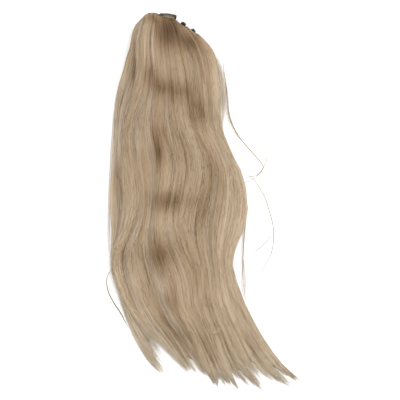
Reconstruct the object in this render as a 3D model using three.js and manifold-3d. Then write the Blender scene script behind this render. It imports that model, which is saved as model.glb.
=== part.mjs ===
// Claw-clip ponytail hairpiece, lying on a surface with its tips swept to one side.
// A fan-shaped claw clip holds a sewn weft band that runs over its prongs, and two layers
// of long wavy hair, one above the clip and one below it, fall from the band.
// Millimetres. +X is to the right seen from above, +Y runs from the tips to the clip, +Z is up.
import * as THREE from "three";
import { mergeVertices } from "three/addons/utils/BufferGeometryUtils.js";
import Module from "manifold-3d";

const wasm = await Module();
wasm.setup();

// Driving dimensions
const LENGTH = 487.5;
const GAP = 0.3;

// Claw clip
const HINGE_X = -46;
const HINGE_Y = 196;
const CLIP_TURN = -5.75;
const MID_HEIGHT = 22;
const PRONG_PITCH = 20.7;

// How far out the knuckle of each prong is from the hinge, from left to right.
const UPPER_REACH = [45.5, 42.5, 46, 46, 42.5, 45.5];
const LOWER_REACH = [37.5, 37.5, 37.5, 37.5, 37.5];
const PRONG_WIDTH = { base: 8, tip: 4.6 };
const PRONG_THICKNESS = { base: 3.8, tip: 2.6 };
const PRONG_STEPS = 7;
const PRONG_SIDES = 8;
const HINGE_RADIUS = 6.5;
const HINGE_LENGTH = 46;
const HINGE_SIDES = 20;
const JAW_THICKNESS = 3;
const JAW_BENDS = 2;
const ARC_STEPS = 10;
const FAN_RADIUS = 31;
const FAN_HALF_ANGLE = 58;
const LEVER_HALF_WIDTH = 13;
const LEVER_WAIST = 8;
const LEVER_TRIM = 1;

// Mid-line of a jaw, from the end of its lever over the hinge to the rim of its fan.
// Columns: distance from the hinge axis, height over the plane between the jaws.
const JAW_LINE = [
  [-26, 11.5],
  [-13, 7.5],
  [0, 4.5],
  [10, 8],
  [20, 11.5],
  [32, 13],
];

// Mid-line of a prong, from inside the fan over its knuckle to its tip.
// Columns: share of the way from the rim of the fan to the knuckle, height as above.
const PRONG_LINE = [
  [-0.6, 11.3],
  [-0.05, 12.7],
  [0.4, 12.6],
  [0.8, 9.6],
  [0.98, 5],
  [1, 0],
  [0.93, -3.5],
];

// Weft band
const BAND_THICKNESS = 2;
const BAND_INNER_RADIUS = 33;
const BAND_RADIUS = 39;
const BAND_START = -62;
const BAND_END = 64;
const BAND_STEPS = 42;

// Scallops of the band's rim. Columns: middle and half width, in degrees clockwise from +Y,
// and the radius of the rim there.
const BAND_SCALLOPS = [
  [-34, 27, 47],
  [-1, 12, 46.6],
];

// Clearance for the clip inside the hair
const POCKET_RADIUS = 53;
const POCKET_HALF_ANGLE = 64;
const POCKET_HINGE_HALF_WIDTH = 27;
const POCKET_LEVER_HALF_WIDTH = 17;
const POCKET_LEVER_END = 29;

// Hair sections, one row every 26 mm down the length, closer at the root.
// left to right: where five strands across the hair pass. crown and edge: height of the hair
// at its middle and its two sides. seam: height of the parting between the two layers.
const SECTION_COLUMNS = [
  "down", "left", "left_mid", "middle", "right_mid", "right", "crown", "edge", "seam",
];
const SECTIONS = [
  [0, -73, -64, -52, -40, -31, 44, 43, 6.5],
  [11, -81, -67, -52, -35, -25, 45, 43, 6.5],
  [22, -87, -70, -52, -28, -15, 47, 42, 6.5],
  [48, -92, -72, -53, -21, 17, 49, 36, 6.5],
  [74, -100, -73, -50, -15, 26, 47, 26, 7],
  [100, -108, -78, -48, -12, 29, 43, 17, 9],
  [126, -113, -86, -49, -9, 29, 41, 12, 10],
  [152, -115, -93, -47, -3, 30, 43, 11, 10],
  [178, -117, -95, -42, 6, 39, 42, 11, 10],
  [204, -119, -93, -40, 12, 52, 39, 10, 10],
  [230, -120, -89, -42, 11, 60, 36, 10, 10],
  [256, -120, -88, -44, 6, 62, 36, 10, 10],
  [282, -118, -96, -45, 2, 57, 37, 10, 9],
  [308, -118, -104, -40, 2, 47, 34, 10, 9],
  [334, -116, -104, -29, 6, 45, 33, 9, 8],
  [360, -109, -96, -24, 9, 51, 31, 9, 7],
  [386, -101, -85, -18, 15, 61, 27, 8, 6],
  [412, -91, -71, -6, 26, 74, 23, 8, 4],
  [438, -78, -53, 7, 40, 90, 17, 7, 0],
  [464, -60, -31, 24, 63, 114, 11, 6, 0],
  [490, -38, -6, 44, 94, 145, 7, 5, 0],
];
const GUIDE_PLACES = [0, 0.25, 0.5, 0.75, 1];
const DOME_POWER = 2.4;

// Root line of the upper layer. Columns: place across the hair from 0 to 1, distance down.
const ROOT_LINE = [
  [0, 20],
  [0.1, 4.5],
  [0.25, 0.5],
  [0.4, 0.5],
  [0.5, 4.5],
  [0.6, 8],
  [0.84, 8.5],
  [0.92, 13.5],
  [1, 22.5],
];
const LOWER_ROOT = 16;

// Locks of hair. root and tip: place across the hair at each end. end: how far down the tip is.
// share: half the lock's width, of the whole hair's 1. lift: height over the common surface.
const LOCK_COLUMNS = ["root", "tip", "end", "share", "lift"];
const UPPER_LOCKS = [
  [0.06, 0.06, 469, 0.07, 0],
  [0.14, 0.14, 458, 0.07, 1.5],
  [0.24, 0.29, 464, 0.07, -1],
  [0.33, 0.35, 463, 0.075, 1.5],
  [0.42, 0.43, 484, 0.075, -1],
  [0.51, 0.53, 487, 0.08, 1.5],
  [0.6, 0.62, 478, 0.08, -1],
  [0.69, 0.71, 485, 0.08, 1.5],
  [0.78, 0.8, 470, 0.08, -1],
  [0.87, 0.89, 481, 0.08, 1.5],
  [0.94, 0.97, 475, 0.075, 0],
];
const LOWER_LOCKS = [
  [0.14, 0.12, 410, 0.1, 0],
  [0.28, 0.27, 418, 0.1, 0],
  [0.44, 0.43, 424, 0.1, 0],
  [0.6, 0.6, 424, 0.1, 0],
  [0.75, 0.76, 418, 0.1, 0],
  [0.88, 0.89, 410, 0.09, 0],
];
const UPPER_STEPS = 24;
const LOWER_STEPS = 14;
const LOCK_SIDES = 8;
const LOCK_OVERLAP = 3;
const LOCK_DRIFT_FROM = 0.55;
const LOCK_TAPER_FROM = 0.89;
const LOCK_ROOT_WIDTH = 0.95;
const LOCK_TIP_WIDTH = 0.14;
const SLAB_REACH = 0.6 * LENGTH;

const HAIR_FINISH = { color: 0xb29b7d, roughness: 0.5, metalness: 0 };
const UNDER_HAIR_FINISH = { color: 0x96795c, roughness: 0.5, metalness: 0 };
const BAND_FINISH = { color: 0x8a7d68, roughness: 0.9, metalness: 0 };
const CLIP_FINISH = { color: 0x241d1a, roughness: 0.25, metalness: 0 };

// Solids, joined and cut

function toSolid(geometry) {
  const bare = geometry.clone();
  bare.deleteAttribute("normal");
  bare.deleteAttribute("uv");
  const merged = mergeVertices(bare);
  const vertProperties = new Float32Array(merged.attributes.position.array);
  const triVerts = new Uint32Array(merged.index.array);
  return new wasm.Manifold(new wasm.Mesh({ numProp: 3, vertProperties, triVerts }));
}

function toGeometry(solid) {
  const mesh = solid.getMesh();
  const geometry = new THREE.BufferGeometry();
  geometry.setAttribute("position", new THREE.Float32BufferAttribute(mesh.vertProperties, 3));
  geometry.setIndex([...mesh.triVerts]);
  geometry.computeVertexNormals();
  return geometry;
}

function join(geometries) {
  return geometries.map(toSolid).reduce((whole, piece) => whole.add(piece));
}

// A closed skin over a row of rings with equal point counts, capped at both ends.
function loft(rings) {
  const sides = rings[0].length;
  const last = (rings.length - 1) * sides;
  const middleOf = (ring) =>
    ring.reduce((sum, point) => sum.add(point), new THREE.Vector3()).divideScalar(sides);
  const points = [...rings.flat(), middleOf(rings[0]), middleOf(rings.at(-1))];
  const rootCentre = points.length - 2;
  const tipCentre = points.length - 1;
  const faces = [];
  for (let side = 0; side < sides; side++) {
    const next = (side + 1) % sides;
    faces.push(rootCentre, side, next);
    faces.push(tipCentre, last + next, last + side);
    for (let start = 0; start < last; start += sides) {
      const ahead = start + sides;
      faces.push(start + side, ahead + side, start + next);
      faces.push(start + next, ahead + side, ahead + next);
    }
  }
  const geometry = new THREE.BufferGeometry().setFromPoints(points);
  geometry.setIndex(faces);
  return geometry;
}

// An oval ring round a centre, in the plane of two directions.
function ovalRing(centre, side, up, halfWidth, halfHeight, sides) {
  return Array.from({ length: sides }, (_, k) => {
    const angle = (2 * Math.PI * k) / sides;
    return centre
      .clone()
      .addScaledVector(side, halfWidth * Math.cos(angle))
      .addScaledVector(up, halfHeight * Math.sin(angle));
  });
}

// A shape drawn in the YZ plane, made solid across the whole width.
function extrudeAcross(shape, halfWidth, curveSegments = 1) {
  const toAcross = new THREE.Matrix4().makeBasis(
    new THREE.Vector3(0, 1, 0),
    new THREE.Vector3(0, 0, 1),
    new THREE.Vector3(1, 0, 0),
  );
  return new THREE.ExtrudeGeometry(shape, { depth: 2 * halfWidth, bevelEnabled: false, curveSegments })
    .translate(0, 0, -halfWidth)
    .applyMatrix4(toAcross);
}

// Claw clip, in its own frame: hinge axis along X through the origin, prongs towards +Y

const degrees = THREE.MathUtils.degToRad;

// Angles of a jaw's prongs, evenly spread about the middle of the fan.
function prongAngles(count) {
  return Array.from({ length: count }, (_, k) => degrees(PRONG_PITCH * (k - (count - 1) / 2)));
}

function prong(angle, reach) {
  const outward = new THREE.Vector3(Math.sin(angle), Math.cos(angle), 0);
  const up = new THREE.Vector3(0, 0, 1);
  const side = new THREE.Vector3().crossVectors(outward, up);
  const line = new THREE.CatmullRomCurve3(
    PRONG_LINE.map(([share, height]) =>
      outward.clone().multiplyScalar(THREE.MathUtils.lerp(FAN_RADIUS, reach, share)).setZ(height),
    ),
  );
  const rings = [];
  for (let step = 0; step <= PRONG_STEPS; step++) {
    const along = step / PRONG_STEPS;
    const across = new THREE.Vector3().crossVectors(side, line.getTangentAt(along));
    const halfWidth = THREE.MathUtils.lerp(PRONG_WIDTH.base, PRONG_WIDTH.tip, along ** 2) / 2;
    const halfThickness = THREE.MathUtils.lerp(PRONG_THICKNESS.base, PRONG_THICKNESS.tip, along) / 2;
    rings.push(ovalRing(line.getPointAt(along), side, across, halfWidth, halfThickness, PRONG_SIDES));
  }
  return loft(rings);
}

function jawProfile() {
  const half = JAW_THICKNESS / 2;
  const above = JAW_LINE.map(([out, height]) => new THREE.Vector2(out, height + half));
  const below = JAW_LINE.map(([out, height]) => new THREE.Vector2(out, height - half)).reverse();
  const shape = new THREE.Shape();
  shape.moveTo(above[0].x, above[0].y);
  shape.splineThru(above.slice(1));
  shape.lineTo(below[0].x, below[0].y);
  shape.splineThru(below.slice(1));
  return shape;
}

function jawPlan() {
  const leverEnd = JAW_LINE[0][0] + LEVER_TRIM;
  const fanStart = degrees(90 - FAN_HALF_ANGLE);
  const fanEnd = degrees(90 + FAN_HALF_ANGLE);
  const shape = new THREE.Shape();
  shape.moveTo(-LEVER_HALF_WIDTH, leverEnd);
  shape.lineTo(LEVER_HALF_WIDTH, leverEnd);
  shape.lineTo(LEVER_HALF_WIDTH, -LEVER_WAIST);
  shape.lineTo(HINGE_LENGTH / 2, 0);
  shape.absarc(0, 0, FAN_RADIUS, fanStart, fanEnd, false);
  shape.lineTo(-HINGE_LENGTH / 2, 0);
  shape.lineTo(-LEVER_HALF_WIDTH, -LEVER_WAIST);
  shape.closePath();
  return shape;
}

function jaw(reaches) {
  const height = JAW_LINE.at(-1)[1] + JAW_THICKNESS;
  const plan = new THREE.ExtrudeGeometry(jawPlan(), {
    depth: height,
    bevelEnabled: false,
    curveSegments: ARC_STEPS,
  });
  const profile = extrudeAcross(jawProfile(), FAN_RADIUS, JAW_BENDS);
  const plate = toSolid(profile).intersect(toSolid(plan));
  const angles = prongAngles(reaches.length);
  return plate.add(join(reaches.map((reach, k) => prong(angles[k], reach))));
}

function clawClip() {
  const hinge = new THREE.CylinderGeometry(HINGE_RADIUS, HINGE_RADIUS, HINGE_LENGTH, HINGE_SIDES);
  hinge.rotateZ(Math.PI / 2);
  const lowerJaw = jaw(LOWER_REACH).mirror([0, 0, 1]);
  return toGeometry(jaw(UPPER_REACH).add(lowerJaw).add(toSolid(hinge)));
}

// Weft band, in the clip's frame: a flat strip over the prongs with a scalloped rim

function bandRim(angle) {
  const scallops = BAND_SCALLOPS.map(([middle, half, rim]) => {
    const out = Math.min(Math.abs(angle - middle) / half, 1);
    return (rim - BAND_RADIUS) * Math.sqrt(1 - out ** 4);
  });
  return BAND_RADIUS + Math.max(...scallops);
}

function weftBand() {
  const under = bandUnderside();
  const over = under + BAND_THICKNESS;
  const rings = [];
  for (let step = 0; step <= BAND_STEPS; step++) {
    const angle = THREE.MathUtils.lerp(BAND_START, BAND_END, step / BAND_STEPS);
    const outward = new THREE.Vector3(Math.sin(degrees(angle)), Math.cos(degrees(angle)), 0);
    const inner = outward.clone().multiplyScalar(BAND_INNER_RADIUS);
    const rim = outward.clone().multiplyScalar(bandRim(angle));
    rings.push([
      inner.clone().setZ(under),
      inner.clone().setZ(over),
      rim.clone().setZ(over),
      rim.clone().setZ(under),
    ]);
  }
  return loft(rings);
}

// The band lies on the prongs' backs.
function bandUnderside() {
  const prongTop = Math.max(...PRONG_LINE.map(([, height]) => height));
  return prongTop + PRONG_THICKNESS.base / 2 + 2 * GAP;
}

// Space that the hair leaves for the clip and the band, in the clip's frame
function clipPocket() {
  const top = bandUnderside() + BAND_THICKNESS + GAP;
  const start = degrees(90 - POCKET_HALF_ANGLE);
  const end = degrees(90 + POCKET_HALF_ANGLE);
  const shape = new THREE.Shape();
  shape.moveTo(-POCKET_LEVER_HALF_WIDTH, -POCKET_LEVER_END);
  shape.lineTo(POCKET_LEVER_HALF_WIDTH, -POCKET_LEVER_END);
  shape.lineTo(POCKET_HINGE_HALF_WIDTH, 0);
  shape.absarc(0, 0, POCKET_RADIUS, start, end, false);
  shape.lineTo(-POCKET_HINGE_HALF_WIDTH, 0);
  shape.closePath();
  const pocket = new THREE.ExtrudeGeometry(shape, { depth: top + MID_HEIGHT, bevelEnabled: false });
  return pocket.translate(0, 0, -MID_HEIGHT);
}

// Hair

const sectionCurve = new THREE.CubicInterpolant(
  SECTIONS.map(([down]) => down),
  SECTIONS.flatMap(([, ...values]) => values),
  SECTION_COLUMNS.length - 1,
);
const rootCurve = new THREE.LinearInterpolant(
  ROOT_LINE.map(([across]) => across),
  ROOT_LINE.map(([, down]) => down),
  1,
);

function sectionAt(down) {
  const values = sectionCurve.evaluate(down);
  return Object.fromEntries(SECTION_COLUMNS.slice(1).map((name, k) => [name, values[k]]));
}

function acrossToX(section, across) {
  const guides = [section.left, section.left_mid, section.middle, section.right_mid, section.right];
  return new THREE.LinearInterpolant(GUIDE_PLACES, guides, 1).evaluate(across)[0];
}

// Height of the hair's upper surface: a dome from edge to edge.
function hairTop(section, across) {
  const dome = 1 - Math.abs(2 * across - 1) ** DOME_POWER;
  return section.edge + (section.crown - section.edge) * dome;
}

// A lock is an upright oval section swept down the hair, wide in its middle and drawn to a tip.
function lock(row, rootDown, steps, heights) {
  const { root, tip, end, share, lift } = row;
  const acrossAt = (down) => {
    const along = (down - rootDown) / (end - rootDown);
    return THREE.MathUtils.lerp(root, tip, THREE.MathUtils.smoothstep(along, LOCK_DRIFT_FROM, 1));
  };
  const xAt = (down) => acrossToX(sectionAt(down), acrossAt(down));
  const up = new THREE.Vector3(0, 0, 1);
  const rings = [];
  for (let step = 0; step <= steps; step++) {
    const along = step / steps;
    const down = THREE.MathUtils.lerp(rootDown, end, along);
    const section = sectionAt(down);
    const slope = (xAt(down + 1) - xAt(down - 1)) / 2;
    const tangent = new THREE.Vector3(slope, -1, 0).normalize();
    const side = new THREE.Vector3().crossVectors(tangent, up);
    const grown = THREE.MathUtils.smoothstep(along, 0, 1 - LOCK_TAPER_FROM);
    const drawn = THREE.MathUtils.smoothstep(along, LOCK_TAPER_FROM, 1);
    const taper =
      THREE.MathUtils.lerp(LOCK_ROOT_WIDTH, 1, grown) * THREE.MathUtils.lerp(1, LOCK_TIP_WIDTH, drawn);
    const leftSide = acrossToX(section, Math.max(acrossAt(down) - share, 0));
    const rightSide = acrossToX(section, Math.min(acrossAt(down) + share, 1));
    const halfWidth = ((rightSide - leftSide) / 2) * -tangent.y * taper;
    const [low, high] = heights(section, acrossAt(down));
    const halfHeight = (high + lift - low) / 2;
    const centre = new THREE.Vector3(xAt(down), LENGTH / 2 - down, low + halfHeight);
    rings.push(ovalRing(centre, side, up, halfWidth, halfHeight, LOCK_SIDES));
  }
  return loft(rings);
}

// The rows of a table as objects with its columns' names.
function named(table, columns) {
  return table.map((row) => Object.fromEntries(row.map((value, k) => [columns[k], value])));
}

function locks(table, rootOf, steps, heights) {
  const rows = named(table, LOCK_COLUMNS);
  return join(rows.map((row) => lock(row, rootOf(row.root), steps, heights)));
}

// A slab over the whole hair between the parting and a level, for cutting a layer flat.
function seamSlab(level, offset) {
  const rows = named(SECTIONS, SECTION_COLUMNS);
  const above = level > offset;
  const shape = new THREE.Shape();
  shape.moveTo(SLAB_REACH, level);
  shape.lineTo(SLAB_REACH, rows[0].seam + offset);
  rows.forEach(({ down, seam }) => shape.lineTo(LENGTH / 2 - down, seam + offset));
  shape.lineTo(-SLAB_REACH, above ? 0 : rows.at(-1).seam + offset);
  shape.lineTo(-SLAB_REACH, level);
  shape.closePath();
  return toSolid(extrudeAcross(shape, LENGTH));
}

function upperHair(pocket) {
  const heights = (section, across) => [section.seam - LOCK_OVERLAP, hairTop(section, across)];
  const hair = locks(UPPER_LOCKS, (across) => rootCurve.evaluate(across)[0], UPPER_STEPS, heights);
  return toGeometry(hair.intersect(seamSlab(LENGTH, 0)).subtract(pocket));
}

function lowerHair() {
  const heights = (section) => [-LOCK_OVERLAP, section.seam + LOCK_OVERLAP];
  const hair = locks(LOWER_LOCKS, () => LOWER_ROOT, LOWER_STEPS, heights);
  const floor = new THREE.Shape();
  floor.moveTo(-LENGTH, 0);
  floor.lineTo(LENGTH, 0);
  floor.lineTo(LENGTH, LENGTH);
  floor.lineTo(-LENGTH, LENGTH);
  floor.closePath();
  const overFloor = toSolid(extrudeAcross(floor, LENGTH));
  return toGeometry(hair.intersect(overFloor).subtract(seamSlab(LENGTH, -GAP)));
}

// Assembly

function piece(name, geometry, finish) {
  const mesh = new THREE.Mesh(geometry, new THREE.MeshStandardMaterial(finish));
  mesh.name = name;
  return mesh;
}

const clip = new THREE.Group();
clip.position.set(HINGE_X, HINGE_Y, MID_HEIGHT);
clip.rotation.z = degrees(CLIP_TURN);
clip.updateMatrix();
clip.add(piece("claw_clip", clawClip(), CLIP_FINISH));
clip.add(piece("weft_band", weftBand(), BAND_FINISH));

const pocket = toSolid(clipPocket().applyMatrix4(clip.matrix));

const hairpiece = new THREE.Group();
hairpiece.add(clip);
hairpiece.add(piece("upper_weft_hair", upperHair(pocket), HAIR_FINISH));
hairpiece.add(piece("lower_weft_hair", lowerHair(), UNDER_HAIR_FINISH));

export default hairpiece;
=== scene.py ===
import bpy
import numpy as np
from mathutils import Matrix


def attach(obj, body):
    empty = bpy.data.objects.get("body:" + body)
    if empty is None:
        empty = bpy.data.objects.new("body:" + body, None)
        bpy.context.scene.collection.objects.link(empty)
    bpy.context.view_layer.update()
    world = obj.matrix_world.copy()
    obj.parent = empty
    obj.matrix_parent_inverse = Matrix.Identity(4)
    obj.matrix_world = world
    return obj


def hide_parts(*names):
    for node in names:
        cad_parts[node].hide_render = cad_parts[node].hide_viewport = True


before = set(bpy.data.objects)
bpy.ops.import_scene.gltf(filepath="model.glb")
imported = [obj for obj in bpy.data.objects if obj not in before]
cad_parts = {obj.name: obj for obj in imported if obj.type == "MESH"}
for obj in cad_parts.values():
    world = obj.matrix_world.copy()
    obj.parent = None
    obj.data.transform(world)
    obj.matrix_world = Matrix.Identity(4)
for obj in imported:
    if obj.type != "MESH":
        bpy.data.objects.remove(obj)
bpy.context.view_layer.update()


# Claw clip
# A fan-shaped hair claw moulded in dark brown-black gloss plastic. Knuckles of the upper jaw's six
# prongs stand out past the hair, and the smaller lower jaw closes inside them on one barrel.

# Sizes of the clip and of the band on it are in millimetres, about the hinge.
MM = 0.001
HINGE = np.array([-46, 196, 22])
CLIP_TURN = np.radians(-5.75)
FAN_RADIUS = 31
UPPER_REACH = [45.5, 42.5, 46, 46, 42.5, 45.5]
LOWER_REACH = [37.5] * 5
ROUND_POWER = 2

# Middle line of a jaw from its lever to its rim: distance from the hinge, height.
JAW_LINE = np.array([[-26, 11.5], [-13, 7.5], [0, 4.5], [10, 8], [20, 11.5], [32, 13]])
# Half width of a jaw from its rounded lever to the start of its round fan: distance, half width.
JAW_WIDTH = np.array([
    [-25, 7], [-24.5, 9], [-23.5, 10.8], [-21.5, 12.3], [-19, 13], [-8, 13], [0, 23], [16.4, 26.3],
])
# Rings of a jaw: distances over the lever's round end and its middle, then angles round its fan.
LEVER_RINGS = np.linspace(-25, -19, 8)
MIDDLE_RINGS = np.linspace(-17, 15.5, 16)
FAN_RINGS = np.radians(np.linspace(33, 89, 18))
PLATE_HALF_THICKNESS = 1.5
PLATE_POWER = 7
PLATE_CORNERS = 40

# Middle line of a prong: share of the way from the fan's rim to the knuckle, height.
PRONG_LINE = np.array([
    [-0.6, 11.3], [-0.05, 12.7], [0.4, 12.6], [0.8, 9.6], [0.98, 5], [1, 0], [0.93, -3.5],
])
PRONG_PITCH = np.radians(20.7)
PRONG_HALF_WIDTH = 4
PRONG_NARROWING = 1.7
PRONG_HALF_THICKNESS = 1.9
PRONG_THINNING = 0.6
PRONG_TIP_START = 0.9
PRONG_TIP_LENGTH = 0.101
PRONG_POWER = 2.8
PRONG_RINGS = 30
PRONG_CORNERS = 18

BARREL_RADIUS = 6.5
BARREL_HALF_LENGTH = 23
BARREL_SOFTENING = 0.9
# Rings of the barrel, as shares of its half length, closer together at its softened ends.
BARREL_RINGS = np.concatenate([[-1, -0.99, -0.97], np.linspace(-0.94, 0.94, 9), [0.97, 0.99, 1]])
BARREL_SOFT_START = 0.96
BARREL_CORNERS = 32


def cubic(f, low, low_slope, high, high_slope):
    """Cubic from low to high as f goes from 0 to 1, with a given slope at each end."""
    return (
        (2 * f**3 - 3 * f**2 + 1) * low
        + (f**3 - 2 * f**2 + f) * low_slope
        + (3 * f**2 - 2 * f**3) * high
        + (f**3 - f**2) * high_slope
    )


def smooth_through(knots, rows, at):
    """Cubic curve through rows at rising knots, with each knot's slope taken from its neighbours."""
    slopes = np.gradient(rows, knots, axis=0)
    k = np.clip(np.searchsorted(knots, at, side="right") - 1, 0, len(knots) - 2)
    span = (knots[k + 1] - knots[k])[..., None]
    f = np.clip((at - knots[k])[..., None] / span, 0.0, 1.0)
    return cubic(f, rows[k], span * slopes[k], rows[k + 1], span * slopes[k + 1])


def table_at(table, at, column=1):
    """A column of a table, read in straight lines between its rows by the table's first column."""
    return np.interp(at, table[:, 0], table[:, column])


def ease(low, high, value):
    """Smooth step from 0 at low to 1 at high."""
    f = np.clip((value - low) / (high - low), 0.0, 1.0)
    return f * f * (3 - 2 * f)


def squared_off(wave, power):
    """A wave raised to a power with its sign kept: below 1, it stays longer near its ends."""
    return np.sign(wave) * np.abs(wave) ** power


def skin(rings):
    """A closed skin over a row of rings that turn with the row's direction, with a fan on each end."""
    count, corners, _ = rings.shape
    points = np.concatenate([rings.reshape(-1, 3), rings[:1].mean(1), rings[-1:].mean(1)])
    index = np.arange(count * corners).reshape(count, corners)
    turned = np.roll(index, -1, axis=1)
    walls = np.stack([index[:-1], turned[:-1], turned[1:], index[1:]], axis=2).reshape(-1, 4)
    start_middle = np.full(corners, count * corners)
    start = np.stack([turned[0], index[0], start_middle], axis=1)
    end = np.stack([index[-1], turned[-1], start_middle + 1], axis=1)
    return points, [walls, np.concatenate([start, end])]


def swept(path, side, half_width, half_height, power, corners):
    """Superellipses of one power carried along a path, wide along the side direction."""
    along = np.gradient(path, axis=0)
    over = np.cross(along, side)
    over /= np.linalg.norm(over, axis=1, keepdims=True)
    turn = 2 * np.pi * np.arange(corners) / corners
    wide = squared_off(np.cos(turn), 2 / power)
    high = squared_off(np.sin(turn), 2 / power)
    rings = (
        path[:, None]
        + (half_width[:, None] * wide)[..., None] * side
        + (half_height[:, None] * high)[..., None] * over[:, None]
    )
    return skin(rings)


def merged(skins):
    """Several closed skins as one set of points and faces."""
    starts = np.cumsum([0] + [len(points) for points, _ in skins])
    walls = [faces[0] + start for (_, faces), start in zip(skins, starts)]
    caps = [faces[1] + start for (_, faces), start in zip(skins, starts)]
    points = np.concatenate([points for points, _ in skins])
    return points, [np.concatenate(walls), np.concatenate(caps)]


def on_clip(points):
    """Points of the clip's own frame about the hinge, turned and moved to their place, in metres."""
    cos, sin = np.cos(CLIP_TURN), np.sin(CLIP_TURN)
    turn = np.array([[cos, -sin, 0], [sin, cos, 0], [0, 0, 1]])
    return (points @ turn.T + HINGE) * MM


def prong(angle, reach, jaw_side):
    """A rounded bar bent over the knuckle, thinner and narrower towards its round tip."""
    t = np.linspace(0, 1, PRONG_RINGS)
    line = smooth_through(np.linspace(0, 1, len(PRONG_LINE)), PRONG_LINE, t)
    out = FAN_RADIUS + line[:, 0] * (reach - FAN_RADIUS)
    path = np.stack([out * np.sin(angle), out * np.cos(angle), jaw_side * line[:, 1]], axis=1)
    side = np.array([np.cos(angle), -np.sin(angle), 0.0])
    tip = np.sqrt(1 - np.clip((t - PRONG_TIP_START) / PRONG_TIP_LENGTH, 0, 1) ** 2)
    half_width = (PRONG_HALF_WIDTH - PRONG_NARROWING * t**2) * tip
    half_thickness = (PRONG_HALF_THICKNESS - PRONG_THINNING * t) * tip
    return swept(path, side, half_width, half_thickness, PRONG_POWER, PRONG_CORNERS)


def jaw_plate(jaw_side):
    """A thin plate along the jaw's bent line: its half width is a table, then a circle over the fan."""
    straight = np.concatenate([LEVER_RINGS, MIDDLE_RINGS])
    out = np.concatenate([straight, FAN_RADIUS * np.sin(FAN_RINGS)])
    half_width = np.concatenate([table_at(JAW_WIDTH, straight), FAN_RADIUS * np.cos(FAN_RINGS)])
    height = smooth_through(JAW_LINE[:, 0], JAW_LINE[:, 1:], out)[:, 0]
    path = np.stack([np.zeros_like(out), out, jaw_side * height], axis=1)
    thick = np.full_like(out, PLATE_HALF_THICKNESS)
    return swept(path, np.array([1.0, 0.0, 0.0]), half_width, thick, PLATE_POWER, PLATE_CORNERS)


def barrel():
    """The round hinge barrel across the clip, with softened ends."""
    x = BARREL_RINGS
    near_end = np.clip((np.abs(x) - BARREL_SOFT_START) / (1 - BARREL_SOFT_START), 0, 1)
    radius = BARREL_RADIUS - BARREL_SOFTENING * near_end**2
    path = np.stack([BARREL_HALF_LENGTH * x, 0 * x, 0 * x], axis=1)
    return swept(path, np.array([0.0, 1.0, 0.0]), radius, radius, ROUND_POWER, BARREL_CORNERS)


def claw():
    """Both jaws with their prongs, spread evenly about the middle of the fan, and the barrel."""
    skins = [barrel()]
    for reaches, jaw_side in ((UPPER_REACH, 1), (LOWER_REACH, -1)):
        skins.append(jaw_plate(jaw_side))
        for number, reach in enumerate(reaches):
            skins.append(prong(PRONG_PITCH * (number - (len(reaches) - 1) / 2), reach, jaw_side))
    points, faces = merged(skins)
    return on_clip(points), faces


def mesh_object(name, points, faces, material):
    """A smooth mesh object from an array of points and arrays of faces of equal corner counts."""
    corners = np.concatenate([part.ravel() for part in faces])
    sizes = np.concatenate([np.full(len(part), part.shape[1]) for part in faces])
    mesh = bpy.data.meshes.new(name)
    mesh.vertices.add(len(points))
    mesh.vertices.foreach_set("co", points.astype(np.float32).ravel())
    mesh.loops.add(len(corners))
    mesh.loops.foreach_set("vertex_index", corners.astype(np.int32))
    mesh.polygons.add(len(sizes))
    mesh.polygons.foreach_set("loop_start", (np.cumsum(sizes) - sizes).astype(np.int32))
    mesh.polygons.foreach_set("use_smooth", np.ones(len(sizes), bool))
    mesh.update(calc_edges=True)
    mesh.materials.append(material)
    made = bpy.data.objects.new(name, mesh)
    bpy.context.scene.collection.objects.link(made)
    return made


class Wire:
    """A socket in a node tree. Sums and products of wires and numbers add Math nodes."""

    def __init__(self, tree, socket=None):
        self.tree = tree
        self.socket = socket

    def node(self, kind, settings, sockets, output=0):
        """Adds a node, sets its settings first, and then feeds its sockets with values or wires."""
        made = self.tree.nodes.new(kind)
        for name, value in settings.items():
            if name == "stops":
                while len(made.color_ramp.elements) < len(value):
                    made.color_ramp.elements.new(1.0)
                for element, (place, colour) in zip(made.color_ramp.elements, value):
                    element.position = place
                    element.color = (*colour, 1.0)
            else:
                setattr(made, name, value)
        for name, value in sockets.items():
            self.feed(made.inputs[name], value)
        return Wire(self.tree, made.outputs[output])

    def feed(self, socket, value):
        """Links a wire to the socket, or writes a plain value into it."""
        if isinstance(value, Wire):
            self.tree.links.new(value.socket, socket)
        else:
            socket.default_value = value

    def maths(self, operation, first, second=0.0):
        """A Math node on one or two wires or numbers."""
        return self.node("ShaderNodeMath", {"operation": operation}, {0: first, 1: second})

    def __add__(self, other):
        return self.maths("ADD", self, other)

    def __sub__(self, other):
        return self.maths("SUBTRACT", self, other)

    def __rsub__(self, other):
        return self.maths("SUBTRACT", other, self)

    def __mul__(self, other):
        return self.maths("MULTIPLY", self, other)

    __radd__ = __add__
    __rmul__ = __mul__


def new_material(name):
    """A node material, with a wire for adding nodes to it and its Principled shader's sockets."""
    material = bpy.data.materials.new(name)
    material.use_nodes = True
    sockets = material.node_tree.nodes["Principled BSDF"].inputs
    return material, Wire(material.node_tree), sockets


PLASTIC_COLOURS = [(0.3, (0.006, 0.004, 0.003)), (0.7, (0.020, 0.014, 0.010))]
PLASTIC_ROUGHNESS = 0.25
PLASTIC_DULLING = 0.2


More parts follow.
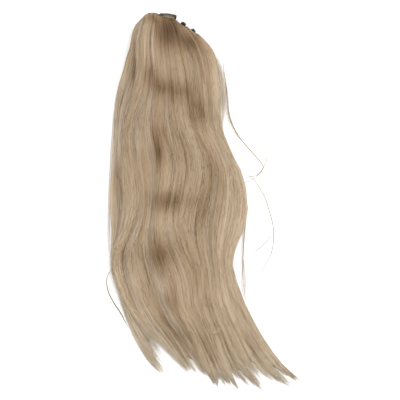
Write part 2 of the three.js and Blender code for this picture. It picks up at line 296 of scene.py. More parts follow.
def gloss_plastic():
    """Dark moulded plastic: faint brown clouding, and gloss dulled in patches by handling."""
    material, wire, shader = new_material("dark_gloss_plastic")
    place = wire.node("ShaderNodeTexCoord", {}, {}, "Object")
    cloud = wire.node("ShaderNodeTexNoise", {}, {"Vector": place, "Scale": 60.0, "Detail": 4.0})
    colour = wire.node("ShaderNodeValToRGB", {"stops": PLASTIC_COLOURS}, {"Fac": cloud})
    wire.feed(shader["Base Color"], colour)
    wire.feed(shader["Roughness"], PLASTIC_ROUGHNESS + PLASTIC_DULLING * cloud)
    shader["Specular IOR Level"].default_value = 0.12
    return material


clip_piece = mesh_object("claw_clip_moulding", *claw(), gloss_plastic())
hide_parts("claw_clip")
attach(clip_piece, "root")


# Weft band
# The sewn tape over the backs of the prongs that carries the hair: woven, olive grey, with a rolled
# and scalloped rim. A row of pale stitches shows where the hair stops short of the right scallop.

# Angles of the band are in degrees clockwise from the clip's +Y.
BAND_START = -62
BAND_END = 64
BAND_INNER_RADIUS = 33
BAND_RADIUS = 39
BAND_HEIGHT = 16.2
BAND_HALF_THICKNESS = 1
BAND_TOP = (HINGE[2] + BAND_HEIGHT + BAND_HALF_THICKNESS) * MM
# Scallops of the rim: middle and half width as angles, radius.
BAND_SCALLOPS = [(-34, 27, 47), (1, 13, 46.6)]
SCALLOP_POWER = 4
TAPE_RINGS = 160
TAPE_CORNERS = 28
TAPE_WIDE_POWER = 0.35
TAPE_HIGH_POWER = 0.5
# Shares of the tape's half width where its rim starts to roll and where it is fully rolled.
ROLL_OVER = (0.55, 0.95)
ROLL_HEIGHT = 0.5


def band_rim(angle):
    """Radius of the rim: the widest of the scallops, each a rounded bump on the plain radius."""
    bumps = [
        (rim - BAND_RADIUS) * np.sqrt(1 - np.clip(np.abs(angle - middle) / half, 0, 1) ** SCALLOP_POWER)
        for middle, half, rim in BAND_SCALLOPS
    ]
    return BAND_RADIUS + np.max(bumps, axis=0)


def tape():
    """A flat section from the inner radius to the thicker rolled rim, turned round the fan."""
    angle = np.linspace(BAND_START, BAND_END, TAPE_RINGS)
    turn = -2 * np.pi * np.arange(TAPE_CORNERS) / TAPE_CORNERS
    wide = squared_off(np.cos(turn), TAPE_WIDE_POWER)
    high = squared_off(np.sin(turn), TAPE_HIGH_POWER)
    roll = ROLL_HEIGHT * ease(*ROLL_OVER, wide)
    half = ((band_rim(angle) - BAND_INNER_RADIUS) / 2)[:, None]
    radius = BAND_INNER_RADIUS + half * (1 + wide)
    height = BAND_HEIGHT + roll + high * (BAND_HALF_THICKNESS + roll)
    height = np.broadcast_to(height, radius.shape)
    out = np.radians(angle)[:, None]
    return skin(np.stack([radius * np.sin(out), radius * np.cos(out), height], axis=2))


TAPE_COLOURS = [
    (0.00, (0.022, 0.017, 0.011)),
    (0.25, (0.062, 0.048, 0.027)),
    (0.55, (0.150, 0.122, 0.078)),
    (0.85, (0.270, 0.235, 0.175)),
]
THREAD_TURNS = 7000.0
WEAVE_SHARE = 0.35
CLOUD_SHARE = 0.65
RIM_SHADE = 0.4
RIM_SHARPNESS = 1200.0
TAPE_ROUGHNESS = 0.75
TAPE_DULLING = 0.2


def woven_tape():
    """Crossing threads 0.9 mm apart in olive grey, paler in worn patches and dark on the rolled rim."""
    material, wire, shader = new_material("olive_woven_tape")
    place = wire.node("ShaderNodeTexCoord", {}, {}, "Object")
    x, y, z = [
        wire.node("ShaderNodeSeparateXYZ", {}, {"Vector": place}, name) for name in ("X", "Y", "Z")
    ]
    one_way = wire.maths("SINE", THREAD_TURNS * (x + y))
    other_way = wire.maths("SINE", THREAD_TURNS * (x - y))
    weave = 0.5 + 0.5 * (one_way * other_way)
    cloud = wire.node("ShaderNodeTexNoise", {}, {"Vector": place, "Scale": 160.0, "Detail": 5.0})
    rim = wire.node("ShaderNodeClamp", {}, {"Value": RIM_SHARPNESS * (z - BAND_TOP)})
    shade = WEAVE_SHARE * weave + CLOUD_SHARE * cloud - RIM_SHADE * rim
    colour = wire.node("ShaderNodeValToRGB", {"stops": TAPE_COLOURS}, {"Fac": shade})
    wire.feed(shader["Base Color"], colour)
    wire.feed(shader["Roughness"], TAPE_ROUGHNESS + TAPE_DULLING * cloud)
    raised = wire.node("ShaderNodeBump", {}, {"Strength": 0.5, "Distance": 0.0003, "Height": weave})
    wire.feed(shader["Normal"], raised)
    return material


STITCH_ANGLES = np.radians(np.arange(-58, 10, 4.2))
STITCH_RADIUS = 41.8
STITCH_HALF_LENGTH = 1.3
STITCH_SLANT = 0.35
STITCH_BOW = 0.35
STITCH_HALF_THICKNESS = 0.36
STITCH_BLUNTNESS = 0.04
STITCH_RINGS = 7
STITCH_CORNERS = 6


def stitch(angle):
    """A short bowed thread lying along the band, thin at both ends where it dips into the tape."""
    t = np.linspace(-1, 1, STITCH_RINGS)
    out = angle + t * STITCH_HALF_LENGTH / STITCH_RADIUS
    radius = STITCH_RADIUS + STITCH_SLANT * t
    height = BAND_HEIGHT + BAND_HALF_THICKNESS + STITCH_BOW * (1 - t**2)
    path = np.stack([radius * np.sin(out), radius * np.cos(out), height], axis=1)
    side = np.array([np.sin(angle), np.cos(angle), 0.0])
    thick = STITCH_HALF_THICKNESS * np.sqrt(1 + STITCH_BLUNTNESS - t**2)
    return swept(path, side, thick, thick, ROUND_POWER, STITCH_CORNERS)


THREAD_COLOURS = [(0.3, (0.300, 0.250, 0.190)), (0.7, (0.520, 0.460, 0.380))]


def pale_thread():
    """Off-white sewing thread with slight yellowing."""
    material, wire, shader = new_material("pale_thread")
    place = wire.node("ShaderNodeTexCoord", {}, {}, "Object")
    cloud = wire.node("ShaderNodeTexNoise", {}, {"Vector": place, "Scale": 500.0, "Detail": 2.0})
    colour = wire.node("ShaderNodeValToRGB", {"stops": THREAD_COLOURS}, {"Fac": cloud})
    wire.feed(shader["Base Color"], colour)
    shader["Roughness"].default_value = 0.7
    return material


band_points, band_faces = tape()
band_piece = mesh_object("weft_tape", on_clip(band_points), band_faces, woven_tape())
stitch_points, stitch_faces = merged([stitch(angle) for angle in STITCH_ANGLES])
stitch_piece = mesh_object("weft_stitches", on_clip(stitch_points), stitch_faces, pale_thread())
for piece in (band_piece, stitch_piece):
    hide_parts("weft_band")
    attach(piece, "root")


# Lower layer of hair
# The weft sewn to the lower jaw. It lies flat on the surface under the clip and under the upper
# layer, a little shorter than it, in the same warm blonde fibre.

LENGTH = 487.5 * MM
ROOT_Y = LENGTH / 2

# One row every 26 mm down the hair, closer at the root, in millimetres: distance down, five guide
# strands across it from left to right, height of its crown and its edges, and of the parting of the
# layers.
HAIR_SECTIONS = MM * np.array([
    [0, -73, -64, -52, -40, -31, 44, 43, 6.5],
    [11, -80.5, -67, -52, -35, -24, 45, 43, 6.5],
    [22, -86, -70, -52, -28, -9.5, 47, 42, 6.5],
    [48, -91.5, -72, -53, -21, 15.8, 49, 36, 6.5],
    [74, -98, -73, -50, -15, 22.5, 47, 26, 7],
    [100, -106, -78, -48, -12, 27, 43, 17, 9],
    [126, -110.5, -87, -49.5, -10, 26, 41, 12, 10],
    [152, -110.5, -93.5, -47.5, -4.5, 28, 43, 11, 10],
    [178, -111.5, -93, -41, 7, 38.5, 42, 11, 10],
    [204, -112.5, -89, -40.5, 14, 51, 39, 10, 10],
    [230, -114.5, -85.5, -44, 11, 58.5, 36, 10, 10],
    [256, -115, -85, -47, 4, 61, 36, 10, 10],
    [282, -114, -93, -47, 0.5, 56, 37, 10, 9],
    [308, -114.5, -105, -41, 3, 44.5, 34, 10, 9],
    [334, -113, -107, -30, 8.5, 41.5, 33, 9, 8],
    [360, -105.5, -99, -23.5, 10.5, 50, 31, 9, 7],
    [386, -99, -87, -19.5, 14, 62, 27, 8, 6],
    [412, -89.5, -69, -5, 27, 75, 23, 8, 4],
    [438, -78, -49, 7, 36, 91.5, 15, 6, 0],
    [464, -60, -28, 18, 49, 113.5, 8, 4, 0],
    [490, -38, -6, 29, 69, 148, 3.5, 2, 0],
])
GUIDES = 5
LEFT, RIGHT, CROWN, EDGE, SEAM = 0, 4, 5, 6, 7


def hair_section(down):
    """The section table's columns after the first, at any distance down the hair."""
    return smooth_through(HAIR_SECTIONS[:, 0], HAIR_SECTIONS[:, 1:], down)


def hair_x(section, across):
    """Where a strand at a place across the hair, from 0 at its left edge to 1, passes a section.

    The place falls between two guide strands, and a cubic joins them with their neighbours' slopes.
    """
    guides = section[..., :GUIDES]
    slopes = np.gradient(guides, axis=-1)
    k = np.clip(np.floor(across * (GUIDES - 1)).astype(int), 0, GUIDES - 2)
    f = across * (GUIDES - 1) - k
    low, low_slope, high, high_slope = [
        np.take_along_axis(values, k[..., None] + step, -1)[..., 0]
        for step in (0, 1) for values in (guides, slopes)
    ]
    return cubic(f, low, low_slope, high, high_slope)


def from_middle(across):
    """0 in the middle of a width or length, and 1 at both its ends."""
    return np.abs(2 * across - 1)


def toned(made, tones, along):
    """Stores each point's tone, and maps each face corner by its tone and its place along the hair."""
    mesh = made.data
    mesh.attributes.new("tone", "FLOAT", "POINT")
    mesh.attributes["tone"].data.foreach_set("value", tones.astype(np.float32).ravel())
    corner = np.empty(len(mesh.loops), np.int32)
    mesh.loops.foreach_get("vertex_index", corner)
    mesh.uv_layers.new(name="OFBake")
    uv = np.stack([tones.ravel(), along.ravel()], axis=1)[corner]
    mesh.uv_layers["OFBake"].uv.foreach_set("vector", uv.astype(np.float32).ravel())
    return made


STRAND_CORNERS = 3
TONE_SPREAD = 0.006
LEAST_TONE = 0.02
MOST_TONE = 0.98
LEAST_NORM = 1e-9


def strand_tubes(name, paths, radii, tones, material):
    """Closed three-sided tubes along many paths at once, one row of rings to each strand.

    A ring is three points at a radius round the path, in the plane of the strand's level side
    direction and the direction square to it and to the strand.
    """
    count, rings = radii.shape
    along = np.gradient(paths, axis=1)
    along /= np.linalg.norm(along, axis=2, keepdims=True)
    side = np.stack([along[..., 1], -along[..., 0], np.zeros_like(radii)], axis=2)
    side /= np.linalg.norm(side, axis=2, keepdims=True) + LEAST_NORM
    over = np.cross(side, along)
    corner = np.arange(STRAND_CORNERS)
    turn = np.pi / 2 + corner * 2 * np.pi / STRAND_CORNERS
    ring = np.cos(turn)[:, None] * side[:, :, None] + np.sin(turn)[:, None] * over[:, :, None]
    points = paths[:, :, None] + radii[:, :, None, None] * ring

    index = np.arange(count * rings * STRAND_CORNERS).reshape(count, rings, STRAND_CORNERS)
    turned = np.roll(index, -1, axis=2)
    walls = np.stack([index[:, :-1], index[:, 1:], turned[:, 1:], turned[:, :-1]], axis=3)
    caps = np.concatenate([index[:, 0], index[:, -1, ::-1]])
    made = mesh_object(name, points.reshape(-1, 3), [walls.reshape(-1, 4), caps], material)
    point_tones = np.clip(tones[:, :, None] + TONE_SPREAD * (corner - 1), 0.0, 1.0)
    place = np.linspace(0, 1, rings)[None, :, None] + np.zeros_like(point_tones)
    return toned(made, point_tones, place)


HAIR_TONES = [
    (0.00, (0.078, 0.040, 0.016)),
    (0.25, (0.215, 0.133, 0.067)),
    (0.50, (0.365, 0.267, 0.171)),
    (0.75, (0.490, 0.385, 0.266)),
    (1.00, (0.620, 0.515, 0.380)),
]
# Shares of red, green and blue in the brightness of a colour.
BRIGHTNESS = np.array([0.2126, 0.7152, 0.0722])
FIBRE_ROUGHNESS = 0.55
FIBRE_SMOOTHING = 0.1
WARM_DEPTH = 1.02


def dyed_fibre(name, depth):
    """Satin fibre whose colour runs from brown to pale blonde with the strand's tone, which carries
    painted shade and painted highlights besides the hair's own tone.

    The dye's depth scales each colour's distance from the grey of the same brightness.
    """
    material, wire, shader = new_material(name)
    tone = wire.node("ShaderNodeAttribute", {"attribute_name": "tone"}, {}, "Fac")
    stops = []
    for place, colour in HAIR_TONES:
        grey = BRIGHTNESS @ colour
        stops.append((place, tuple(grey + depth * (np.array(colour) - grey))))
    dyed = wire.node("ShaderNodeValToRGB", {"stops": stops}, {"Fac": tone})
    wire.feed(shader["Base Color"], dyed)
    wire.feed(shader["Roughness"], FIBRE_ROUGHNESS - FIBRE_SMOOTHING * tone)
    shader["Specular IOR Level"].default_value = 0.22
    return material


fibre = dyed_fibre("warm_blonde_fibre", WARM_DEPTH)

LOWER_ROOT = 16 * MM
LOWER_END = 424 * MM
LOWER_CORNER = 18 * MM
LOWER_CORNER_POWER = 3
WEFT_NARROWING = 0.22
NARROWED_DOWN = 60 * MM


def narrowed(across, down):
    """Place across the hair drawn in towards its middle near the root, where the weft is sewn."""
    return across + (0.5 - across) * WEFT_NARROWING * ease(NARROWED_DOWN, 0.0, down)


def lower_root(across):
    """Where a strand of the lower weft starts: further down towards its two rounded corners."""
    return LOWER_ROOT + LOWER_CORNER * from_middle(across) ** LOWER_CORNER_POWER


FULL_TURN = 6.28
LAYER_GAP = 0.6 * MM
STRAND_RADIUS = 0.36 * MM
LOWER_STRANDS = 800
LOWER_RINGS = 16
# Places across of the strands in the two rims, as their starts and their width, and of the rest.
LOWER_RIM_STARTS = [0.035, 0.925]
LOWER_RIM_WIDTH = 0.04
LOWER_RIM_SHARE = 0.4
LOWER_INNER = (0.04, 0.96)
LOWER_LAYERING = 70 * MM
LOWER_TAPER = 0.6
LOWER_LEAST_ROOM = 0.1 * MM
LOWER_WAVE = 9
LOWER_SWAY = 0.8 * MM
LOWER_TONE = 0.42
LOWER_TONE_SPREAD = 0.15
LOWER_PALER_TIPS = 0.1
PILE_STREAKS = 0.08


def lower_strands():
    """Strands laid side by side round the flat layer: many near its rim, the rest over and under it.

    A strand keeps its place across the hair. Its height is a share of the layer's thickness, which
    thins to nothing at the tips with the parting of the layers.
    """
    chance = np.random.default_rng(seed=11)
    each = (LOWER_STRANDS, 1)
    rim = chance.choice(LOWER_RIM_STARTS, each) + LOWER_RIM_WIDTH * chance.random(each)
    inner = chance.uniform(*LOWER_INNER, each)
    across = np.where(chance.random(each) < LOWER_RIM_SHARE, rim, inner)
    level = chance.random(each)
    end = LOWER_END - LOWER_LAYERING * chance.random(each)
    t = np.linspace(0, 1, LOWER_RINGS)
    root = lower_root(across)
    down = root + t * (end - root)
    section = hair_section(down)
    radii = STRAND_RADIUS * (1 - LOWER_TAPER * t**3) * np.ones_like(down)
    room = np.maximum(section[..., SEAM] - LAYER_GAP - 2 * radii, LOWER_LEAST_ROOM)
    wave = np.sin(LOWER_WAVE * t + FULL_TURN * chance.random(each))
    x = hair_x(section, narrowed(across, down)) + LOWER_SWAY * wave
    paths = np.stack([x, ROOT_Y - down, radii + level * room], axis=2)
    own_tone = LOWER_TONE_SPREAD * chance.standard_normal(each)
    tones = np.clip(LOWER_TONE + own_tone + LOWER_PALER_TIPS * t, LEAST_TONE, MOST_TONE)
    return strand_tubes("lower_hair_strands", paths, radii, tones, fibre)


def hair_pile(name, across, down, low, high, tone):
    """A closed cushion of hair: an upper and a lower sheet over one grid, meeting along the rim."""
    rows, columns = across.shape
    rim = np.zeros_like(across, bool)
    rim[[0, -1]] = True
    rim[:, [0, -1]] = True
    middle = (low + high) / 2
    x = hair_x(hair_section(down), across)
    y = ROOT_Y - down
    upper = np.stack([x, y, np.where(rim, middle, high)], axis=2)
    lower = np.stack([x, y, np.where(rim, middle, low)], axis=2)
    index = np.arange(rows * columns).reshape(rows, columns)
    quads = np.stack([index[:-1, :-1], index[1:, :-1], index[1:, 1:], index[:-1, 1:]], axis=2)
    quads = quads.reshape(-1, 4)
    inside = ~rim.ravel()
    under = index.ravel().copy()
    under[inside] = rows * columns + np.arange(inside.sum())
    points = np.concatenate([upper.reshape(-1, 3), lower.reshape(-1, 3)[inside]])
    made = mesh_object(name, points, [quads, under[quads][:, ::-1]], fibre)
    streak = PILE_STREAKS * np.random.default_rng(seed=5).standard_normal(columns)
    tones = np.clip(tone + streak, LEAST_TONE, MOST_TONE).ravel()
    place = np.repeat(np.linspace(0, 1, rows), columns)
    return toned(made, np.append(tones, tones[inside]), np.append(place, place[inside]))


# Grid of the lower pile: places across, and shares of the way from its root to its end.
LOWER_PILE_PLACES = np.linspace(0.05, 0.95, 60)
LOWER_PILE_ROWS = np.linspace(0, 1, 40)
LOWER_PILE_INSET = 4 * MM
LOWER_PILE_SHORTER = 56 * MM
LOWER_PILE_BASE = 0.4 * MM
LOWER_PILE_GAP = 0.8 * MM
LOWER_PILE_TONE = 0.45


def lower_pile():
    """The bulk of the flat layer, from edge to edge, thinning towards its tips."""
    across, t = np.meshgrid(LOWER_PILE_PLACES, LOWER_PILE_ROWS)
    root = lower_root(across) + LOWER_PILE_INSET
    down = root + t * (LOWER_END - LOWER_PILE_SHORTER - root)
    high = hair_section(down)[..., SEAM] - LOWER_PILE_GAP
    tone = np.full_like(down, LOWER_PILE_TONE)
    return hair_pile("lower_hair_pile", narrowed(across, down), down, LOWER_PILE_BASE, high, tone)


for piece in (lower_pile(), lower_strands()):
    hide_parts("lower_weft_hair")
    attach(piece, "root")


# Upper layer of hair
# The weft sewn over the upper jaw: the hair that shows. It drapes over the clip, falls in loose
# waves and is cut in long pointed locks. Brown painted shade lies in the hollows of the waves and in
# the partings, painted highlights lie on the crests and the edges, and some wisps, most of them at the
# two sides, are dyed a cooler ash.

# Root line over the band. Columns: place across the hair, distance down, height of the root.
ROOT_LINE = np.array([
    [0, 16, 36], [0.05, 9, 36], [0.1, 3.5, 36], [0.18, 0.8, 36], [0.4, 0.5, 36], [0.47, 2.8, 37],
    [0.53, 4.6, 39.3], [0.6, 6.5, 39.3], [0.68, 8, 39.3], [0.84, 8.5, 39.3], [0.865, 12, 39.3],
    [0.876, 15, 39.3], [0.9, 18.6, 39.3], [0.955, 18, 39.3], [0.962, 24, 38], [0.97, 26.5, 37],
    [1, 27.5, 36],
])
ROOT_HEIGHT = 2

# Cut line of the tips: peaks at the points of the locks. Columns: place across, distance down.
TIP_LINE = np.array([
    [0, 456], [0.04, 468], [0.08, 472], [0.12, 462], [0.18, 446], [0.25, 424], [0.275, 442],
    [0.30, 466], [0.35, 459], [0.40, 470], [0.46, 485], [0.53, 480], [0.65, 491], [0.68, 470],
    [0.72, 479], [0.76, 481], [0.80, 489], [0.82, 474], [0.84, 463], [0.87, 474], [0.91, 488],
    [0.94, 478], [0.97, 478], [1, 476],
])
LOCK_TIPS = np.array([0.06, 0.30, 0.46, 0.55, 0.65, 0.73, 0.80, 0.865, 0.91, 0.985])

# Hollows of the waves, which sink the strands and carry painted shade, among them the dark patch under
# the band, and crests with painted highlights, which are negative. Columns: x and y of the middle, half
# length along x and y, all in millimetres, and strength.
HOLLOWS = np.array([
    [-40, 219, 15, 25, 0.8], [-55, 221, 5, 16, 0.22], [-58, 234, 5, 4, 0.3],
    [-10, 206, 17, 14, 0.55], [-75, 180, 14, 28, 0.06], [-87, 168, 3, 14, 0.35],
    [-90, 138, 16, 26, 0.1], [-68, 234.5, 9, 3, 0.45], [-65, 239, 1.5, 1.8, 0.5],
    [-61, 239.6, 1.5, 1.8, 0.5], [-64, 163, 9, 12, 0.3], [-50, 147, 14, 12, 0.5],
    [-24, 141, 18, 12, 0.43], [0, 116, 14, 13, 0.55], [-53, 60, 7, 28, 0.4],
    [-107, 33, 7, 15, 0.35], [20, 28, 9, 16, 0.25], [8, -12, 12, 16, 0.12],
    [-40, 1, 24, 11, 0.6], [-8, -3, 11, 10, 0.2], [-54, -11, 10, 9, 0.2],
    [-52, 102, 12, 12, 0.12], [-50, -70, 20, 18, 0.52], [-97, -73, 11, 11, 0.25],
    [-38, -128, 10, 13, 0.35], [-6, -90, 7, 26, 0.2], [-20, -180, 26, 18, 0.2],
    [-39, 28, 17, 11, -0.2], [-45, -32, 15, 10, -0.15], [48, -25, 14, 30, -0.12],
    [-49, -110, 12, 11, -0.15], [28, -137, 10, 34, -0.14], [-71, 131, 9, 20, -0.05],
    [-92, -8, 12, 16, -0.15], [-62, -177, 16, 14, -0.3], [15, -203, 12, 18, 0.46],
    [-6, -200, 12, 12, 0.18], [58, -130, 8, 18, 0.32], [67, -191, 14, 14, 0.22],
    [22, 168, 9, 36, -0.35], [-45, -196, 20, 12, -0.35], [40, -228, 18, 8, -0.3],
    [-84, -45, 10, 22, -0.12], [4, 207, 10, 7, -0.3], [33, 140, 6, 22, -0.35],
    [-101, 163, 6, 20, -0.3], [-108, -100, 8, 22, -0.3], [-52, 79, 14, 30, 0.12],
    [-106, 15, 9, 25, 0.12], [-54, -88, 8, 6, 0.2], [8, -128, 12, 24, 0.14],
    [-32, 8, 10, 12, -0.12], [-88, 88, 8, 24, -0.12], [20, -36, 8, 22, -0.12],
    [-88, -130, 10, 28, -0.12], [-68, -152, 10, 16, -0.12],
])

# Thin partings between locks, which sink the strands and carry painted shade, and pale wisps, which are
# negative. Columns: place across at the upper end and at the lower end, distance down of both ends in
# millimetres, strength.
PARTINGS = np.array([
    [0.325, 0.40, 8, 92, 0.55], [0.05, 0.185, 30, 100, 0.8], [0.12, 0.17, 24, 72, -0.35],
    [0.16, 0.20, 28, 82, 0.2], [0.25, 0.27, 22, 75, -0.35], [0.39, 0.42, 20, 78, -0.3],
    [0.74, 0.83, 22, 70, 0.25], [0.86, 0.88, 30, 95, 0.2], [0.902, 0.894, 4, 135, 0.25],
    [0.57, 0.63, 120, 235, 0.3], [0.48, 0.53, 130, 205, 0.3], [0.715, 0.80, 115, 215, 0.25],
    [0.42, 0.45, 145, 195, 0.35], [0.32, 0.28, 110, 220, 0.2], [0.34, 0.245, 245, 305, 0.2],
    [0.60, 0.65, 265, 315, 0.25], [0.57, 0.65, 285, 360, 0.3], [0.388, 0.383, 310, 440, 0.25],
    [0.28, 0.25, 355, 425, 0.2], [0.72, 0.60, 360, 450, 0.2], [0.90, 0.98, 320, 425, 0.25],
    [0.46, 0.425, 370, 470, 0.25], [0.85, 0.94, 425, 470, 0.3], [0.365, 0.425, 380, 475, 0.5],
    [0.33, 0.35, 405, 455, 0.3], [0.50, 0.53, 405, 482, 0.45], [0.55, 0.575, 405, 482, 0.4],
    [0.88, 0.92, 400, 465, 0.35], [0.76, 0.78, 415, 478, 0.35], [0.625, 0.655, 380, 480, 0.4],
])
PARTING_HALF_WIDTH = 0.011


def hollow_at(x, y):
    """Depth of the wave at a place, which also sets its painted shade: a sum of soft oval dips."""
    depth = np.zeros_like(x)
    for middle_x, middle_y, half_x, half_y, strength in HOLLOWS:
        reach = ((x / MM - middle_x) / half_x) ** 2 + ((y / MM - middle_y) / half_y) ** 2
        depth += strength * np.exp(-reach)
    return depth


def parting_at(across, down):
    """Depth of the partings, which also sets their painted shade: each is narrow across the hair and
    fades in and out along it.
    """
    depth = np.zeros_like(down)
    for upper, lower, first, last, strength in PARTINGS:
        f = np.clip((down / MM - first) / (last - first), 0.0, 1.0)
        aside = (across - upper - (lower - upper) * f) / PARTING_HALF_WIDTH
        depth += strength * np.exp(-(aside**2)) * np.sin(np.pi * f)
    return depth


# Room that the upper layer leaves for the clip. Columns: distance from the hinge, half width.
CLIP_ROOM = np.array([[-29, 17], [0, 27], [24, 46], [60, 46]])
CLIP_ROOM_FADE = 5
CLIP_TOP = 39.8 * MM
DOME_POWER = 2.4


def over_clip(x, y):
    """1 over the fan and levers of the clip, falling to 0 within a few millimetres outside them."""
    from_x = x / MM - HINGE[0]
    from_y = y / MM - HINGE[1]
    out_x = from_x * np.cos(CLIP_TURN) + from_y * np.sin(CLIP_TURN)
    out_y = from_y * np.cos(CLIP_TURN) - from_x * np.sin(CLIP_TURN)
    beside = ease(CLIP_ROOM_FADE, 0, np.abs(out_x) - table_at(CLIP_ROOM, out_y))
    return beside * ease(CLIP_ROOM_FADE, 0, CLIP_ROOM[0, 0] - out_y)


def upper_top(section, across):
    """Height of the upper surface: a dome from edge to edge."""
    dome = 1 - from_middle(across) ** DOME_POWER
    return section[..., EDGE] + (section[..., CROWN] - section[..., EDGE]) * dome


def upper_bottom(section, x, y):
    """Height of the lower surface: just over the lower layer, and over the clip where that is higher."""
    return np.maximum(section[..., SEAM] + LAYER_GAP, over_clip(x, y) * CLIP_TOP)


MIDDLE_TONE = 0.515
# How much painted shade the hollows and partings put into the tone.
HOLLOW_PAINTED_SHADE = 0.7
# Painted light at the two edges, which the light from above leaves darker: how much, over how wide a
# strip, and from which distance down.
EDGE_PAINTED_LIGHT = 0.2
EDGE_WIDTH = 0.25
EDGE_PAINTED_LIGHT_OVER = (40 * MM, 130 * MM)
# Steps of tone towards the tips: how much paler, and from and to which distance down.
TIPS_PALER = [(0.06, 250 * MM, 400 * MM), (0.14, 400 * MM, 480 * MM)]


def tone_at(across, down, hollow):
    """Tone at a place: painted light at both edges, paler towards the tips, painted shade in the hollows
    and partings, and painted highlights on the crests.
    """
    edge = np.exp(-(((1 - from_middle(across)) / EDGE_WIDTH) ** 2))
    edge = edge * ease(*EDGE_PAINTED_LIGHT_OVER, down)
    towards_tips = sum(paler * ease(start, end, down) for paler, start, end in TIPS_PALER)
    return MIDDLE_TONE + EDGE_PAINTED_LIGHT * edge + towards_tips - HOLLOW_PAINTED_SHADE * hollow


# Distances down the middle of the hair, and places across it, for measuring its width.
MIDDLE_STRETCH = np.linspace(74, 386, 12) * MM
EVEN_PLACES = np.linspace(0, 1, 101)


def even_across(share):
    """Places across the hair that are evenly spread in width half-way down it."""
    middle = hair_section(MIDDLE_STRETCH).mean(0)
    widths = hair_x(np.broadcast_to(middle, (EVEN_PLACES.size, middle.size)), EVEN_PLACES)
    return np.interp(share, (widths - widths[0]) / (widths[-1] - widths[0]), EVEN_PLACES)


# Rings of a strand: close together over the rim of the band, then at set distances down the hair,
# with some between these at shares of the way.
RINGS_FROM_ROOT = MM * np.array([0, 2, 5, 9, 15])
RINGS_BETWEEN = np.array([0.35, 0.68])
RINGS_DOWN = MM * np.array([
    60, 76, 88, 100, 114, 134, 158, 182, 206, 228, 243, 258,
    278, 300, 316, 332, 354, 376, 400, 425, 447, 466, 500,
])
LEAST_STEP = 2 * MM


def rings_down(root, end, shift):
    """Distances of each strand's rings down the hair, the last of them drawn up to the strand's end."""
    upper = root + RINGS_FROM_ROOT
    lower = RINGS_DOWN + shift
    between = upper[:, -1:] + RINGS_BETWEEN * (lower[:, :1] - upper[:, -1:])
    down = np.concatenate([upper, between, lower], axis=1)
    rings_left = np.arange(down.shape[1])[::-1]
    return np.minimum(down, end - LEAST_STEP * rings_left)


UPPER_STRANDS = 3400
SIDE_STRANDS = 560
UPPER_PIECES = 4
RING_SHIFT = 7

# Wisps: pairs are the least and the most, plain lengths are in millimetres, and tones are spreads.
WISPS = 72
WISP_SPREAD = 0.016
WISP_PLACE = (0.1, 0.9)
WISP_SWAY = (0.3, 1.1)
WISP_WAVE = (130, 260)
WISP_DEPTH = (0, 1.1)
WISP_LIFT = 0.5
WISP_CUT = 6
WISP_TONE = 0.05
MOST_WISP_TONE = 0.06
SWAY_OVER = (20 * MM, 120 * MM)

# Side strands: width of their two strips, spread of their roots, how far they stray outward, and how
# far their roots are set in on the right and on the left, in millimetres.
SIDE_STRIP = 0.03
SIDE_ROOT_SPREAD = 12
SIDE_STRAY = 0.7
RIGHT_INSET = 1.5
LEFT_INSET = 4.0
INSET_LENGTH = 40 * MM

# Roots and tips: spread of the roots, share of layered strands, how much shorter these and the other
# strands are cut, in millimetres, and how strands draw in to the middle of a wisp and of a lock.
ROOT_SPREAD = 2
ROOT_RISE = 13 * MM
LAYERED_SHARE = 0.45
LAYERED_SHORTER = 110
CUT_SPREAD = 5
MOST_SHORTER = 120
WISP_PULL = 0.1
WISP_TIP_PULL = 0.5
WISP_PULL_FROM = 0.5
LOCK_PULL = 0.17
LOCK_PULL_FROM = 0.86
TIP_SPLAY = 0.004
TIP_THICKNESS = 0.25
TIP_TAPER = 60 * MM

# Single strands: their frizz in millimetres, waves from root to tip, depth, thickness and tone.
FRIZZY_SHARE = 0.06
FRIZZY = 1.5
CALM = 0.12
STRAND_WAVES = (1.5, 4.5)
WAVES_FULL = 0.1
STRAND_DEPTH = 0.4
STRAND_THICKNESS = (0.7, 1.2)
STRAND_TONE = 0.055
STREAKED_TIPS = 1.2
STREAKED_OVER = (400 * MM, 470 * MM)
# Paler tips: partly the ends' own lighter colour, partly painted light for light coming through the thin
# ends.
PALER_TIP_AND_PAINTED_LIGHT = 0.36
PALE_TIP_LENGTH = 50 * MM
FLOOR_GAP = 0.2 * MM

# Hollows: how deep strands sink in them, over how much room, and how far their ends are blurred.
WAVE_DEPTH = 2.0 * MM
WAVE_ROOM = 12 * MM
HOLLOW_BLUR = 3

# Share of the wisps that are dyed ash. Columns: share of the hair's width from the left, share.
ASH_SHARES = np.array([[0, 0.5], [0.35, 0.45], [0.5, 0.08], [0.8, 0.08], [1, 0.5]])
ASH_DEPTH = 0.87
ash_fibre = dyed_fibre("ash_blonde_fibre", ASH_DEPTH)


